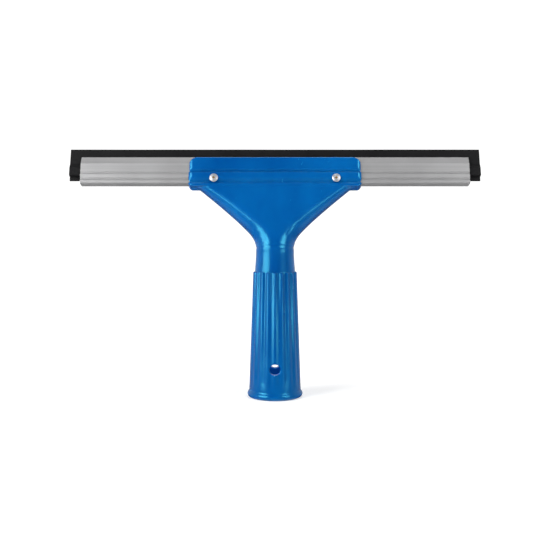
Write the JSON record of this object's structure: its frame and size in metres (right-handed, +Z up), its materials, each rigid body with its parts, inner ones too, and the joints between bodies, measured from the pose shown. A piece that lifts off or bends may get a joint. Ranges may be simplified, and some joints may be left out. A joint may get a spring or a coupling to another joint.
{
  "type": "window squeegee",
  "caption": "window cleaning squeegee with a rubber blade in an aluminium channel, riveted to a leaning plastic head on a fluted socket grip",
  "frame": {"origin": "centre of the pole socket's mouth, on the flat rim of the grip", "axes": "+Z up along the pole socket towards the blade, +X along the blade, front with the rivets faces -Y"},
  "size_m": [0.318, 0.0428, 0.1913],
  "materials": {
    "blue_plastic": "glossy moulded polypropylene",
    "channel_aluminium": "satin extruded",
    "blade_rubber": "matt",
    "rivet_aluminium": "bright",
    "mandrel_steel": "dulled, broken end"
  },
  "bodies": {
    "frame_body": {"handle_moulding": "blue_plastic", "blade_channel": "channel_aluminium", "rivet_left": "rivet_aluminium", "rivet_right": "rivet_aluminium", "mandrel_left": "mandrel_steel", "mandrel_right": "mandrel_steel"},
    "blade": {"rubber_blade": "blade_rubber"}
  },
  "joints": [
    {"name": "blade_slide", "type": "slide", "parent": "frame_body", "child": "blade", "axis": [1, 0, 0], "range_m": [-0.3, 0.3]}
  ]
}
